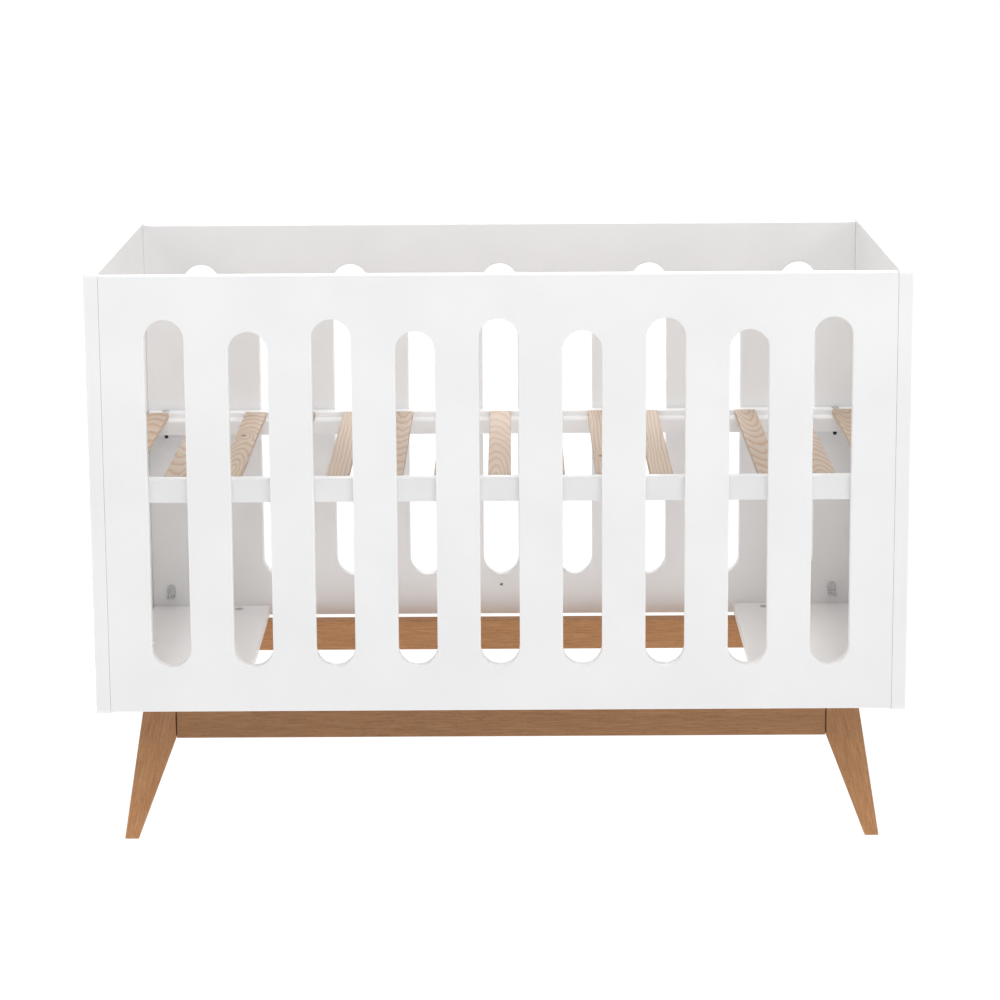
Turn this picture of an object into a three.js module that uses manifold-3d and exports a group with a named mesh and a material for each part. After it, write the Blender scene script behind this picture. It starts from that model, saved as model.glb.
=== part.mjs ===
// Baby crib: two solid ends, two slotted sides, a height-adjustable slatted base, two bottom
// boards and a splayed timber leg frame. Millimetres, +Z up. The origin is on the floor under the
// middle of the crib, +X runs along its length and -Y is the front.

import * as THREE from 'three';
import { mergeVertices } from 'three/addons/utils/BufferGeometryUtils.js';
import Module from 'manifold-3d';

const wasm = await Module();
wasm.setup();

// ---- driving dimensions -------------------------------------------------------------------

const MATTRESS_LENGTH = 1200;
const MATTRESS_WIDTH = 600;
const MATTRESS_CLEARANCE = 3;                 // each long side
const GAP = 0.3;                              // between pieces that touch

const PANEL = 22;                             // thickness of ends and sides
const PANEL_CHAMFER = 3;
const END_BOTTOM = 209.5;
const END_TOP = 893;
const END_CORNER_R = 9;
const SIDE_BOTTOM = 214;
const SIDE_TOP = 889;

const SLOT_COUNT = 9;
const SLOT_WIDTH = 60;
const BAR_WIDTH = 66;
const SLOT_BOTTOM = 284;
const SLOT_TOP_TALL = 822;                    // first, third, fifth ... slot
const SLOT_TOP_SHORT = 803.5;                 // second, fourth ... slot

const BASE_TOP = 574;                         // mattress support height, upper position
const BASE_RAIL_HEIGHT = 37;
const BASE_RAIL_DEPTH = 36;
const BASE_LEDGE_DEPTH = 14;
const BASE_END_CLEARANCE = 3;
const SLAT_COUNT = 15;
const SLAT_WIDTH = 35;
const SLAT_THICKNESS = 10;
const SLAT_PITCH = 82.8;
const SLAT_CHAMFER = 1;

const BASE_BOLT_X = 568;
const BASE_BOLT_Y = 286;
const BASE_BOLT = { shank: 3.5, head: 6.75, headHeight: 2.2, flange: 8, flangeHeight: 1.6, tip: 7 };
const BOLT_HOLE_R = 4;

const BRACKET = { width: 14.5, wall: 1.8, foot: 23, height: 20.5, hole: 4.6 };
const BRACKET_BOTTOM = 248;

const INSERT = { y: 255, z: 671, flange: 8.3, bore: 4, proud: 1.2, depth: 12, barrel: 6 };

const FRAME_TOP = 213;                        // top of the timber leg frame
const FRAME_RAIL_HEIGHT = 51;
const FRAME_RAIL_DEPTH = 30;
const LEG_SEAM = 1;                           // shadow gap between a leg and its rail
const LEG_DEPTH = 35;
const LEG_FRONT = 292;                        // outer face of the legs, from the middle
const LEG_TOP_INNER = 504;
const LEG_TOP_OUTER = 553;
const FOOT_INNER = 566.5;
const FOOT_OUTER = 588;
const LEG_CHAMFER = 1.5;

const BOARD_THICKNESS = 18;
const BOARD_WIDTH = 200;
const BOARD_CHAMFER = 1;
const BOARD_BOLT_X = 450;
const BOARD_BOLT = { shank: 3, head: 7.5, headHeight: 1.4, length: 45 };
const BOARD_HOLE_R = 3.5;

const END_BRACKET = { y: 25, width: 17, height: 16, foot: 30, wall: 2 };

const DOWEL = { r: 4, length: 30, heights: [330, 760] };
const DOWEL_HOLE_R = 4.4;
const REAR_HOLE = { r: 2.5, depth: 12, z: 266 };

const TURN_STEPS = 12;                        // facets round bolts, inserts and bores
const ARC_DIVISIONS = 6;                      // an outline's arc gets twice this many facets

// ---- derived places -------------------------------------------------------------------------

const INNER_X = MATTRESS_LENGTH / 2;
const INNER_Y = MATTRESS_WIDTH / 2 + MATTRESS_CLEARANCE;
const OUTER_Y = INNER_Y + PANEL;
const BASE_BOTTOM = BASE_TOP - BASE_RAIL_HEIGHT;
const BASE_LEDGE = BASE_TOP - SLAT_THICKNESS;
const BASE_OUTER_Y = INNER_Y - MATTRESS_CLEARANCE;
const BASE_LIP_Y = BASE_OUTER_Y - BASE_RAIL_DEPTH + BASE_LEDGE_DEPTH;
const BASE_INNER_Y = BASE_OUTER_Y - BASE_RAIL_DEPTH;
const BRACKET_Y = INNER_Y - GAP;
const FRAME_BOTTOM = FRAME_TOP - FRAME_RAIL_HEIGHT;
const LEG_Y = LEG_FRONT - LEG_DEPTH / 2;
const BOARD_BOTTOM = FRAME_TOP + GAP;
const BOARD_TOP = BOARD_BOTTOM + BOARD_THICKNESS;
const BOARD_X = INNER_X - GAP - BOARD_WIDTH / 2;

const SIDES = [{ name: 'front', y: -1 }, { name: 'rear', y: 1 }];
const ENDS = [{ name: 'left', x: -1 }, { name: 'right', x: 1 }];
const CORNERS = SIDES.flatMap((side) =>
  ENDS.map((end) => ({ name: `${side.name}_${end.name}`, x: end.x, y: side.y })));

// ---- materials ------------------------------------------------------------------------------

const finish = (color, roughness, metalness) =>
  new THREE.MeshStandardMaterial({ color, roughness, metalness });
const lacquer = finish(0xf1f1ef, 0.35, 0);
const pine = finish(0xd8b892, 0.6, 0);
const brownTimber = finish(0xa87650, 0.5, 0);
const steel = finish(0xb9bcbe, 0.3, 0.9);

// ---- shape helpers --------------------------------------------------------------------------

const group = new THREE.Group();

function add(name, geometry, material) {
  const mesh = new THREE.Mesh(geometry, material);
  mesh.name = name;
  group.add(mesh);
  return mesh;
}

// A solid for boolean work: only positions, with shared corners merged.
function solid(geometry) {
  const bare = geometry.clone();
  bare.deleteAttribute('normal');
  bare.deleteAttribute('uv');
  const merged = mergeVertices(bare, 1e-4);
  return new wasm.Manifold(new wasm.Mesh({
    numProp: 3,
    vertProperties: new Float32Array(merged.attributes.position.array),
    triVerts: new Uint32Array(merged.index.array),
  }));
}

function surfaceOf(body) {
  const mesh = body.getMesh();
  const out = new THREE.BufferGeometry();
  out.setAttribute('position', new THREE.BufferAttribute(new Float32Array(mesh.vertProperties), 3));
  out.setIndex(new THREE.BufferAttribute(new Uint32Array(mesh.triVerts), 1));
  out.computeVertexNormals();
  return out;
}

function cut(geometry, cutters) {
  return surfaceOf(cutters.reduce((body, cutter) => body.subtract(solid(cutter)), solid(geometry)));
}

// Extrudes an outline with a single chamfer that stays inside the outline's own size.
function plate(shape, thickness, chamfer) {
  return new THREE.ExtrudeGeometry(shape, {
    depth: thickness - 2 * chamfer,
    bevelEnabled: chamfer > 0,
    bevelThickness: chamfer,
    bevelSize: chamfer,
    bevelOffset: -chamfer,
    bevelSegments: 1,
    curveSegments: ARC_DIVISIONS,
  }).translate(0, 0, chamfer - thickness / 2);
}

// Outline in X and Z, extruded along Y and centred on y.
function alongY(shape, depth, chamfer, y) {
  return plate(shape, depth, chamfer).rotateX(Math.PI / 2).translate(0, y, 0);
}

// Outline in Y and Z, extruded along X and centred on x.
function alongX(shape, depth, chamfer, x) {
  return plate(shape, depth, chamfer).rotateX(Math.PI / 2).rotateZ(Math.PI / 2).translate(x, 0, 0);
}

function polygon(points) {
  return new THREE.Shape(points.map(([u, v]) => new THREE.Vector2(u, v)));
}

function rectangle(low, high) {
  return polygon([[low[0], low[1]], [high[0], low[1]], [high[0], high[1]], [low[0], high[1]]]);
}

function stadium(x, bottom, top, width) {
  const r = width / 2;
  const path = new THREE.Path();
  path.moveTo(x + r, bottom + r);
  path.lineTo(x + r, top - r);
  path.absarc(x, top - r, r, 0, Math.PI);
  path.lineTo(x - r, bottom + r);
  path.absarc(x, bottom + r, r, Math.PI, 2 * Math.PI);
  return path;
}

function roundedRectangle(low, high, r) {
  const shape = new THREE.Shape();
  shape.moveTo(low[0] + r, low[1]);
  shape.lineTo(high[0] - r, low[1]);
  shape.absarc(high[0] - r, low[1] + r, r, -Math.PI / 2, 0);
  shape.lineTo(high[0], high[1] - r);
  shape.absarc(high[0] - r, high[1] - r, r, 0, Math.PI / 2);
  shape.lineTo(low[0] + r, high[1]);
  shape.absarc(low[0] + r, high[1] - r, r, Math.PI / 2, Math.PI);
  shape.lineTo(low[0], low[1] + r);
  shape.absarc(low[0] + r, low[1] + r, r, Math.PI, 1.5 * Math.PI);
  return shape;
}

// Turned about +Z from a profile of [radius, height] points that starts and ends on the axis.
function turned(profile) {
  const points = profile.map(([r, z]) => new THREE.Vector2(r, z));
  return new THREE.LatheGeometry(points, TURN_STEPS).rotateX(Math.PI / 2);
}

function rod(r, length) {
  return new THREE.CylinderGeometry(r, r, length, TURN_STEPS).rotateX(Math.PI / 2);
}

const rodAlongX = (r, length) => rod(r, length).rotateY(Math.PI / 2);
const rodAlongY = (r, length) => rod(r, length).rotateX(Math.PI / 2);

// ---- ends and sides ---------------------------------------------------------------------------

// Hidden dowel bores, half in the end panel and half in the edge of the side panel.
function dowelPlaces(x, y) {
  return DOWEL.heights.map((z) => [x * INNER_X, y * (INNER_Y + PANEL / 2), z]);
}

function dowelBores(x, y) {
  return dowelPlaces(x, y).map((place) =>
    rodAlongX(DOWEL_HOLE_R, DOWEL.length + 2 * GAP).translate(...place));
}

function endPanel(x) {
  const outline = roundedRectangle([-OUTER_Y, END_BOTTOM], [OUTER_Y, END_TOP], END_CORNER_R);
  const panel = alongX(outline, PANEL, PANEL_CHAMFER, x * (INNER_X + PANEL / 2));
  const inserts = SIDES.map((side) =>
    rodAlongX(INSERT.barrel + GAP, 2 * (INSERT.depth + GAP))
      .translate(x * INNER_X, side.y * INSERT.y, INSERT.z));
  const bores = SIDES.flatMap((side) => dowelBores(x, side.y));
  return cut(panel, [...inserts, ...bores]);
}

function slotX(index) {
  return (index - (SLOT_COUNT - 1) / 2) * (SLOT_WIDTH + BAR_WIDTH);
}

function sidePanel(y) {
  const halfLength = INNER_X - GAP;
  const outline = rectangle([-halfLength, SIDE_BOTTOM], [halfLength, SIDE_TOP]);
  for (let i = 0; i < SLOT_COUNT; i += 1) {
    const top = i % 2 === 0 ? SLOT_TOP_TALL : SLOT_TOP_SHORT;
    outline.holes.push(stadium(slotX(i), SLOT_BOTTOM, top, SLOT_WIDTH));
  }
  const panel = alongY(outline, PANEL, PANEL_CHAMFER, y * (INNER_Y + PANEL / 2));
  const cutters = ENDS.flatMap((end) => dowelBores(end.x, y));
  if (y > 0) {
    cutters.push(rodAlongY(REAR_HOLE.r, 2 * REAR_HOLE.depth).translate(0, INNER_Y, REAR_HOLE.z));
  }
  return cut(panel, cutters);
}

ENDS.forEach((end) => add(`end_panel_${end.name}`, endPanel(end.x), lacquer));
SIDES.forEach((side) => add(`side_panel_${side.name}`, sidePanel(side.y), lacquer));

CORNERS.forEach((corner) => {
  dowelPlaces(corner.x, corner.y).forEach((place, i) => {
    const level = i === 0 ? 'low' : 'high';
    const name = `corner_dowel_${corner.name}_${level}`;
    const dowel = add(name, rodAlongX(DOWEL.r, DOWEL.length), steel);
    dowel.position.set(...place);
  });
});

// Flanged, threaded sleeves in the inner faces of the end panels.
const insertProfile = [
  [INSERT.bore, INSERT.proud], [INSERT.bore, -INSERT.depth], [INSERT.barrel, -INSERT.depth],
  [INSERT.barrel, GAP], [INSERT.flange, GAP], [INSERT.flange, INSERT.proud], [INSERT.bore, INSERT.proud],
];
CORNERS.forEach((corner) => {
  const insert = add(`panel_insert_${corner.name}`, turned(insertProfile), steel);
  insert.rotation.y = -corner.x * Math.PI / 2;
  insert.position.set(corner.x * INNER_X, corner.y * INSERT.y, INSERT.z);
});

// ---- slatted base -------------------------------------------------------------------------------

function baseRail(y) {
  const section = polygon([
    [y * BASE_INNER_Y, BASE_BOTTOM], [y * BASE_OUTER_Y, BASE_BOTTOM], [y * BASE_OUTER_Y, BASE_TOP],
    [y * BASE_LIP_Y, BASE_TOP], [y * BASE_LIP_Y, BASE_LEDGE], [y * BASE_INNER_Y, BASE_LEDGE],
  ]);
  const rail = alongX(section, 2 * (INNER_X - BASE_END_CLEARANCE), SLAT_CHAMFER, 0);
  const holes = ENDS.map((end) => rod(BOLT_HOLE_R, 2 * BASE_RAIL_HEIGHT)
    .translate(end.x * BASE_BOLT_X, y * BASE_BOLT_Y, BASE_TOP - BASE_RAIL_HEIGHT / 2));
  return cut(rail, holes);
}

SIDES.forEach((side) => add(`base_rail_${side.name}`, baseRail(side.y), lacquer));

const slatLength = 2 * (BASE_LIP_Y - GAP);
const slatSection = rectangle([-SLAT_WIDTH / 2, BASE_LEDGE + GAP], [SLAT_WIDTH / 2, BASE_TOP]);
for (let i = 0; i < SLAT_COUNT; i += 1) {
  const name = `slat_${String(i + 1).padStart(2, '0')}`;
  const slat = add(name, alongY(slatSection, slatLength, SLAT_CHAMFER, 0), pine);
  slat.position.x = (i - (SLAT_COUNT - 1) / 2) * SLAT_PITCH;
}

// Bolt through each rail end: domed head on the lip, washer flange and bare tip underneath.
const flangeTop = BASE_BOTTOM - GAP;
const flangeBottom = flangeTop - BASE_BOLT.flangeHeight;
const headBottom = BASE_TOP + GAP;
const baseBoltProfile = [
  [0, flangeBottom - BASE_BOLT.tip],
  [BASE_BOLT.shank - 0.6, flangeBottom - BASE_BOLT.tip],
  [BASE_BOLT.shank, flangeBottom - BASE_BOLT.tip + 0.6],
  [BASE_BOLT.shank, flangeBottom],
  [BASE_BOLT.flange, flangeBottom],
  [BASE_BOLT.flange, flangeTop],
  [BASE_BOLT.shank, flangeTop],
  [BASE_BOLT.shank, headBottom],
  [BASE_BOLT.head, headBottom],
  [BASE_BOLT.head * 0.8, headBottom + BASE_BOLT.headHeight * 0.7],
  [0, headBottom + BASE_BOLT.headHeight],
];
CORNERS.forEach((corner) => {
  const bolt = add(`base_bolt_${corner.name}`, turned(baseBoltProfile), steel);
  bolt.position.set(corner.x * BASE_BOLT_X, corner.y * BASE_BOLT_Y, 0);
});

// Angle brackets that carry the base rails in the lower position. The bolt tips drop into the feet.
function supportBracket() {
  const { width, wall, foot, height, hole } = BRACKET;
  const r = width / 2;
  const back = new THREE.Shape();
  back.moveTo(-r, 0);
  back.lineTo(r, 0);
  back.lineTo(r, height - r);
  back.absarc(0, height - r, r, 0, Math.PI);
  const upright = solid(alongY(back, wall, 0, -wall / 2));
  const footPlate = solid(new THREE.BoxGeometry(width, foot, wall).translate(0, -foot / 2, wall / 2));
  const bore = solid(rod(hole, 4 * wall).translate(0, BASE_BOLT_Y - BRACKET_Y, 0));
  return surfaceOf(upright.add(footPlate).subtract(bore));
}

CORNERS.forEach((corner) => {
  const bracket = add(`support_bracket_${corner.name}`, supportBracket(), steel);
  bracket.rotation.z = corner.y > 0 ? 0 : Math.PI;
  bracket.position.set(corner.x * BASE_BOLT_X, corner.y * BRACKET_Y, BRACKET_BOTTOM);
});

// ---- leg frame ----------------------------------------------------------------------------------

const frameRailShape = rectangle(
  [-LEG_TOP_INNER + LEG_SEAM, FRAME_BOTTOM], [LEG_TOP_INNER - LEG_SEAM, FRAME_TOP]);
SIDES.forEach((side) => {
  const rail = alongY(frameRailShape, FRAME_RAIL_DEPTH, LEG_CHAMFER, side.y * LEG_Y);
  const holes = ENDS.map((end) => rod(BOARD_HOLE_R, 2 * BOARD_BOLT.length)
    .translate(end.x * BOARD_BOLT_X, side.y * LEG_Y, BOARD_TOP));
  add(`leg_rail_${side.name}`, cut(rail, holes), brownTimber);
});

const stretcherX = (LEG_TOP_INNER + LEG_TOP_OUTER) / 2;
const stretcherY = LEG_Y - LEG_DEPTH / 2 - GAP;
ENDS.forEach((end) => {
  const outline = rectangle([-stretcherY, FRAME_BOTTOM], [stretcherY, FRAME_TOP]);
  add(`leg_stretcher_${end.name}`,
    alongX(outline, FRAME_RAIL_DEPTH, LEG_CHAMFER, end.x * stretcherX), brownTimber);
});

CORNERS.forEach((corner) => {
  const outline = [
    [LEG_TOP_INNER, FRAME_TOP], [LEG_TOP_INNER, FRAME_BOTTOM], [FOOT_INNER, 0], [FOOT_OUTER, 0],
    [LEG_TOP_OUTER, FRAME_TOP],
  ].map(([x, z]) => [corner.x * x, z]);
  add(`leg_${corner.name}`,
    alongY(polygon(outline), LEG_DEPTH, LEG_CHAMFER, corner.y * LEG_Y), brownTimber);
});

// ---- bottom boards --------------------------------------------------------------------------------

const boardShape = rectangle(
  [-BOARD_WIDTH / 2, -INNER_Y + GAP], [BOARD_WIDTH / 2, INNER_Y - GAP]);
ENDS.forEach((end) => {
  const board = plate(boardShape, BOARD_THICKNESS, BOARD_CHAMFER)
    .translate(end.x * BOARD_X, 0, BOARD_BOTTOM + BOARD_THICKNESS / 2);
  const holes = SIDES.map((side) => rod(BOARD_HOLE_R, 2 * BOARD_THICKNESS)
    .translate(end.x * BOARD_BOLT_X, side.y * LEG_Y, BOARD_TOP));
  add(`bottom_board_${end.name}`, cut(board, holes), lacquer);
});

const boardBoltProfile = [
  [0, -BOARD_BOLT.length], [BOARD_BOLT.shank, -BOARD_BOLT.length + BOARD_BOLT.shank],
  [BOARD_BOLT.shank, GAP], [BOARD_BOLT.head, GAP], [BOARD_BOLT.head * 0.85, BOARD_BOLT.headHeight],
  [0, BOARD_BOLT.headHeight],
];
CORNERS.forEach((corner) => {
  const bolt = add(`board_bolt_${corner.name}`, turned(boardBoltProfile), steel);
  bolt.position.set(corner.x * BOARD_BOLT_X, corner.y * LEG_Y, BOARD_TOP);
});

// Angle braces between each bottom board and its end panel.
ENDS.forEach((end) => {
  const { width, height, foot, wall, y } = END_BRACKET;
  const inner = INNER_X - GAP;
  const low = BOARD_TOP + GAP;
  const section = polygon([
    [inner, low], [inner, low + height], [inner - wall, low + height],
    [inner - foot, low + wall], [inner - foot, low],
  ].map(([x, z]) => [end.x * x, z]));
  add(`end_brace_${end.name}`, alongY(section, width, 0, y), steel);
});

export default group;
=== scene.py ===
# %% [markdown]
# # A baby crib, made piece by piece
#
# The crib has two white end panels, two white sides with nine round-ended slots each, a pine
# slatted base that can stand at two heights, and a brown timber leg frame with splayed legs.
# Each piece is made on its own, already in its place on the finished crib. A measured frame
# gives the place and size of every piece, so nothing here is fitted by eye.

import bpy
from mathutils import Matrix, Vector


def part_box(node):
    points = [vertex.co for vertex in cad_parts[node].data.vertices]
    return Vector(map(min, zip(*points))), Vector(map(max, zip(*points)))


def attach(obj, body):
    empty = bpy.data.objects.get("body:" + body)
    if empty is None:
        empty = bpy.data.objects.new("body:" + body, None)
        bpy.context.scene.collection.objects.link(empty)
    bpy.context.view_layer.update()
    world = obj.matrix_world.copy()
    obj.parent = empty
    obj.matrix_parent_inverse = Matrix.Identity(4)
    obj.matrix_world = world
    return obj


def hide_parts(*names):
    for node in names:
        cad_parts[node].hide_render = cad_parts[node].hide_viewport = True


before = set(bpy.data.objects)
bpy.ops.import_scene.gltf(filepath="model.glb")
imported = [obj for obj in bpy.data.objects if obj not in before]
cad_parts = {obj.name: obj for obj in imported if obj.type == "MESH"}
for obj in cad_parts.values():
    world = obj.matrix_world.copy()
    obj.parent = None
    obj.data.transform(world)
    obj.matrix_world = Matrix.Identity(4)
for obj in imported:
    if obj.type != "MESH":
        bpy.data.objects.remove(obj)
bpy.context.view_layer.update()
print("nodes in the frame:", len(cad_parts))

# %% [markdown]
# ## The bench and its units
#
# A joiner thinks in millimetres and Blender thinks in metres. All the shapes below are made in
# millimetres, because the numbers are then the ones on the maker's drawing, and they are scaled
# down once, when a piece is finished. This cell also asks the frame where a node is.

# %% Units and places
import math
import random

import bmesh
import bpy
from mathutils import Matrix, Vector

MM = 0.001
ENDS = {"left": -1, "right": 1}
SIDES = {"front": -1, "rear": 1}
CORNERS = [(f"{side}_{end}", x, y) for side, y in SIDES.items() for end, x in ENDS.items()]


def node_box(node):
    """The lowest and highest corners of a node of the frame, in millimetres."""
    low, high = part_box(node)
    return low / MM, high / MM


print("corners of the crib:", [name for name, x, y in CORNERS])

# %% [markdown]
# ## Sawing a block and softening its edges
#
# Most of the crib is flat board. A board starts as a cube that is scaled to the board's size and
# moved to its place. No real board has knife edges: the maker runs a router along them. The bevel
# operator does the same, and a few segments with a profile of 0.5 make a true quarter round.

# %% Blocks and rounded edges
def block(low, high):
    """A block between two corners."""
    low, high = Vector(low), Vector(high)
    bm = bmesh.new()
    bmesh.ops.create_cube(bm, size=1.0)
    bmesh.ops.scale(bm, verts=bm.verts, vec=high - low)
    bmesh.ops.translate(bm, verts=bm.verts, vec=(low + high) / 2)
    return bm


def soften(bm, edges, radius, segments=3):
    """Rounds edges as a router does. Sliding along loops would pull round rims into spikes."""
    bmesh.ops.bevel(bm, geom=edges, offset=radius, offset_type="OFFSET", segments=segments,
                    profile=0.5, affect="EDGES", clamp_overlap=True, loop_slide=False, material=-1)


def edges_along(bm, axis):
    """The edges that run along one axis: 0 is X, 1 is Y and 2 is Z."""
    return [edge for edge in bm.edges
            if abs((edge.verts[0].co - edge.verts[1].co).normalized()[axis]) > 0.999]


def sharp_edges(bm, least=40):
    """The edges whose two faces meet at more than this many degrees."""
    return [edge for edge in bm.edges if edge.calc_face_angle(0) > math.radians(least)]


sample = block((0, 0, 0), (40, 20, 10))
print("a block has", len(edges_along(sample, 0)), "edges along X,", len(sharp_edges(sample)), "in all")
sample.free()

# %% [markdown]
# ## Turning on the lathe
#
# Bolts, inserts and dowels are round. A lathe shape needs only half of its outline: a line of
# points, each a radius and a height, which the spin operator sweeps round a full turn. Where the
# line touches the axis, the swept points fall together, so doubles are merged afterwards.

# %% Turned pieces
def turned(outline, steps=32):
    """A solid turned about Z from pairs of radius and height."""
    bm = bmesh.new()
    points = [bm.verts.new((radius, 0, height)) for radius, height in outline]
    lines = [bm.edges.new(pair) for pair in zip(points, points[1:])]
    bmesh.ops.spin(bm, geom=points + lines, cent=(0, 0, 0), axis=(0, 0, 1),
                   angle=math.tau, steps=steps, use_merge=True)
    bmesh.ops.remove_doubles(bm, verts=bm.verts, dist=0.001)
    return bm


def rod(radius, length, steps=24):
    """A plain round rod about Z, used as a drill."""
    half = length / 2
    return turned([(0, -half), (radius, -half), (radius, half), (0, half)], steps)


def move(bm, place):
    """Shifts a piece by a vector."""
    bmesh.ops.translate(bm, verts=bm.verts, vec=place)
    return bm


def turn(bm, degrees, axis):
    """Turns a piece about one of the axes."""
    bmesh.ops.rotate(bm, verts=bm.verts, cent=(0, 0, 0),
                     matrix=Matrix.Rotation(math.radians(degrees), 3, axis))
    return bm


def reflect(bm, x=1, y=1):
    """Swaps left for right or front for rear where a sign is -1."""
    bmesh.ops.scale(bm, verts=bm.verts, vec=(x, y, 1))
    return bm


sample = rod(4, 30)
print("a rod of radius 4 and length 30 holds", round(sample.calc_volume(signed=False)), "cubic mm")
sample.free()

# %% [markdown]
# ## Joining and drilling
#
# Some pieces are made of several shells, such as a bracket with its screw, and some boards are
# drilled for bolts. Shells are joined by reading one mesh into another. A drilled hole is a
# Boolean: the board minus a rod. Operators could cut the hole face by face, but the Boolean
# modifier makes a clean rim on any shape, and its result is read back at once.

# %% Join and drill
def as_object(bm):
    """A short-lived object, for a modifier to work on."""
    bmesh.ops.recalc_face_normals(bm, faces=bm.faces)
    mesh = bpy.data.meshes.new("on_the_bench")
    bm.to_mesh(mesh)
    bm.free()
    thing = bpy.data.objects.new("on_the_bench", mesh)
    bpy.context.scene.collection.objects.link(thing)
    return thing


def join(bm, other):
    """Adds another bmesh's shells to this one."""
    mesh = bpy.data.meshes.new("on_the_bench")
    other.to_mesh(mesh)
    other.free()
    bm.from_mesh(mesh)
    bpy.data.meshes.remove(mesh)
    return bm


def drill(bm, rods):
    """The board without what the rods pass through."""
    board, cutter = as_object(bm), as_object(rods)
    hole = board.modifiers.new("hole", "BOOLEAN")
    hole.object, hole.operation, hole.solver = cutter, "DIFFERENCE", "EXACT"
    cut = board.evaluated_get(bpy.context.evaluated_depsgraph_get())
    drilled = bmesh.new()
    drilled.from_mesh(cut.to_mesh())
    cut.to_mesh_clear()
    for thing in (board, cutter):
        bpy.data.meshes.remove(thing.data)
    return drilled


sample = drill(block((-10, -10, 0), (10, 10, 10)), rod(3, 40))
print("a drilled block has", len(sample.faces), "faces")
sample.free()

# %% [markdown]
# ## Finishing a piece
#
# A finished piece is scaled to metres, gets its material, and is hung on the body of the crib
# that it moves with. The node of the frame that it stands for is hidden.
# Flat faces next to rounded edges shade cleanly only if the big faces win, so a Weighted Normal
# modifier is added.

# %% Finish a piece
made = []


def finish_piece(bm, name, finish, body="frame", stands_for=None, steepest=40):
    """Turns a bmesh into a named piece of the crib."""
    bmesh.ops.remove_doubles(bm, verts=bm.verts, dist=0.001)
    bmesh.ops.recalc_face_normals(bm, faces=bm.faces)
    bmesh.ops.scale(bm, verts=bm.verts, vec=(MM, MM, MM))
    mesh = bpy.data.meshes.new(name)
    bm.to_mesh(mesh)
    bm.free()
    mesh.shade_smooth()
    mesh.set_sharp_from_angle(angle=math.radians(steepest))
    mesh.materials.append(finish)
    piece = bpy.data.objects.new(name, mesh)
    bpy.context.scene.collection.objects.link(piece)
    piece.modifiers.new("even_shading", "WEIGHTED_NORMAL").keep_sharp = True
    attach(piece, body)
    if stands_for:
        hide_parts(stands_for)
    made.append(piece)
    size = [round(side / MM, 1) for side in piece.dimensions]
    print(f"{name}: {size[0]} x {size[1]} x {size[2]} mm")
    return piece


print("ready to finish pieces")

# %% [markdown]
# ## Building materials from nodes
#
# Every finish is a small network of nodes: noise in a chosen size, stretched where the material
# has a direction, then turned into colour, gloss and bump. These helpers keep each network short
# to read. Sizes in them are in metres.

# %% Node helpers
def colour(red, green, blue):
    """A paint-chart colour, 0 to 255, as the linear colour that Blender mixes."""
    def linear(value):
        value /= 255
        return value / 12.92 if value <= 0.04045 else ((value + 0.055) / 1.055) ** 2.4
    return (linear(red), linear(green), linear(blue), 1.0)


def new_finish(name, roughness=0.5, metallic=0.0):
    """A material and its shader."""
    finish = bpy.data.materials.new(name)
    finish.use_nodes = True
    shader = finish.node_tree.nodes["Principled BSDF"]
    shader.inputs["Roughness"].default_value = roughness
    shader.inputs["Metallic"].default_value = metallic
    return finish, shader


def feed(finish, socket, value):
    """Links a socket to another node, or sets it."""
    if isinstance(value, bpy.types.NodeSocket):
        finish.node_tree.links.new(value, socket)
    else:
        socket.default_value = value


def place_on(finish, name=None, of="Object"):
    """Places in object space, or those kept in a piece's own named attribute."""
    if name is None:
        return finish.node_tree.nodes.new("ShaderNodeTexCoord").outputs[of]
    node = finish.node_tree.nodes.new("ShaderNodeAttribute")
    node.attribute_name = name
    return node.outputs["Vector"]


def value_of(finish, name):
    """A number that a piece keeps at each of its points, and 0 where it keeps none."""
    node = finish.node_tree.nodes.new("ShaderNodeAttribute")
    node.attribute_name = name
    return node.outputs["Fac"]


def sum_up(finish, operation, first, second=0.0):
    """One step of arithmetic on two values."""
    node = finish.node_tree.nodes.new("ShaderNodeMath")
    node.operation = operation
    feed(finish, node.inputs[0], first)
    feed(finish, node.inputs[1], second)
    return node.outputs[0]


def stretch(finish, place, amounts):
    """Multiplies a place by an amount along each axis."""
    node = finish.node_tree.nodes.new("ShaderNodeVectorMath")
    node.operation = "MULTIPLY"
    feed(finish, node.inputs[0], place)
    node.inputs[1].default_value = amounts
    return node.outputs[0]


def length_of(finish, place):
    """How far a place lies from zero."""
    node = finish.node_tree.nodes.new("ShaderNodeVectorMath")
    node.operation = "LENGTH"
    feed(finish, node.inputs[0], place)
    return node.outputs["Value"]


def noise(finish, place, scale=1.0, detail=2.0, roughness=0.5):
    """Soft random values, 0 to 1."""
    node = finish.node_tree.nodes.new("ShaderNodeTexNoise")
    feed(finish, node.inputs["Vector"], place)
    for name, value in (("Scale", scale), ("Detail", detail), ("Roughness", roughness)):
        node.inputs[name].default_value = value
    return node.outputs["Fac"]


def spread(finish, value, low, high, to_low, to_high, smooth=False):
    """Moves a range of values to another range."""
    node = finish.node_tree.nodes.new("ShaderNodeMapRange")
    node.interpolation_type = "SMOOTHSTEP" if smooth else "LINEAR"
    feed(finish, node.inputs["Value"], value)
    limits = {"From Min": low, "From Max": high, "To Min": to_low, "To Max": to_high}
    for name, number in limits.items():
        node.inputs[name].default_value = number
    return node.outputs["Result"]


def ramp(finish, value, stops):
    """Colours along a value, from pairs of position and colour."""
    node = finish.node_tree.nodes.new("ShaderNodeValToRGB")
    steps = node.color_ramp.elements
    while len(steps) < len(stops):
        steps.new(1.0)
    for step, (position, shade) in zip(steps, stops):
        step.position, step.color = position, shade
    feed(finish, node.inputs["Fac"], value)
    return node.outputs["Color"]


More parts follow.
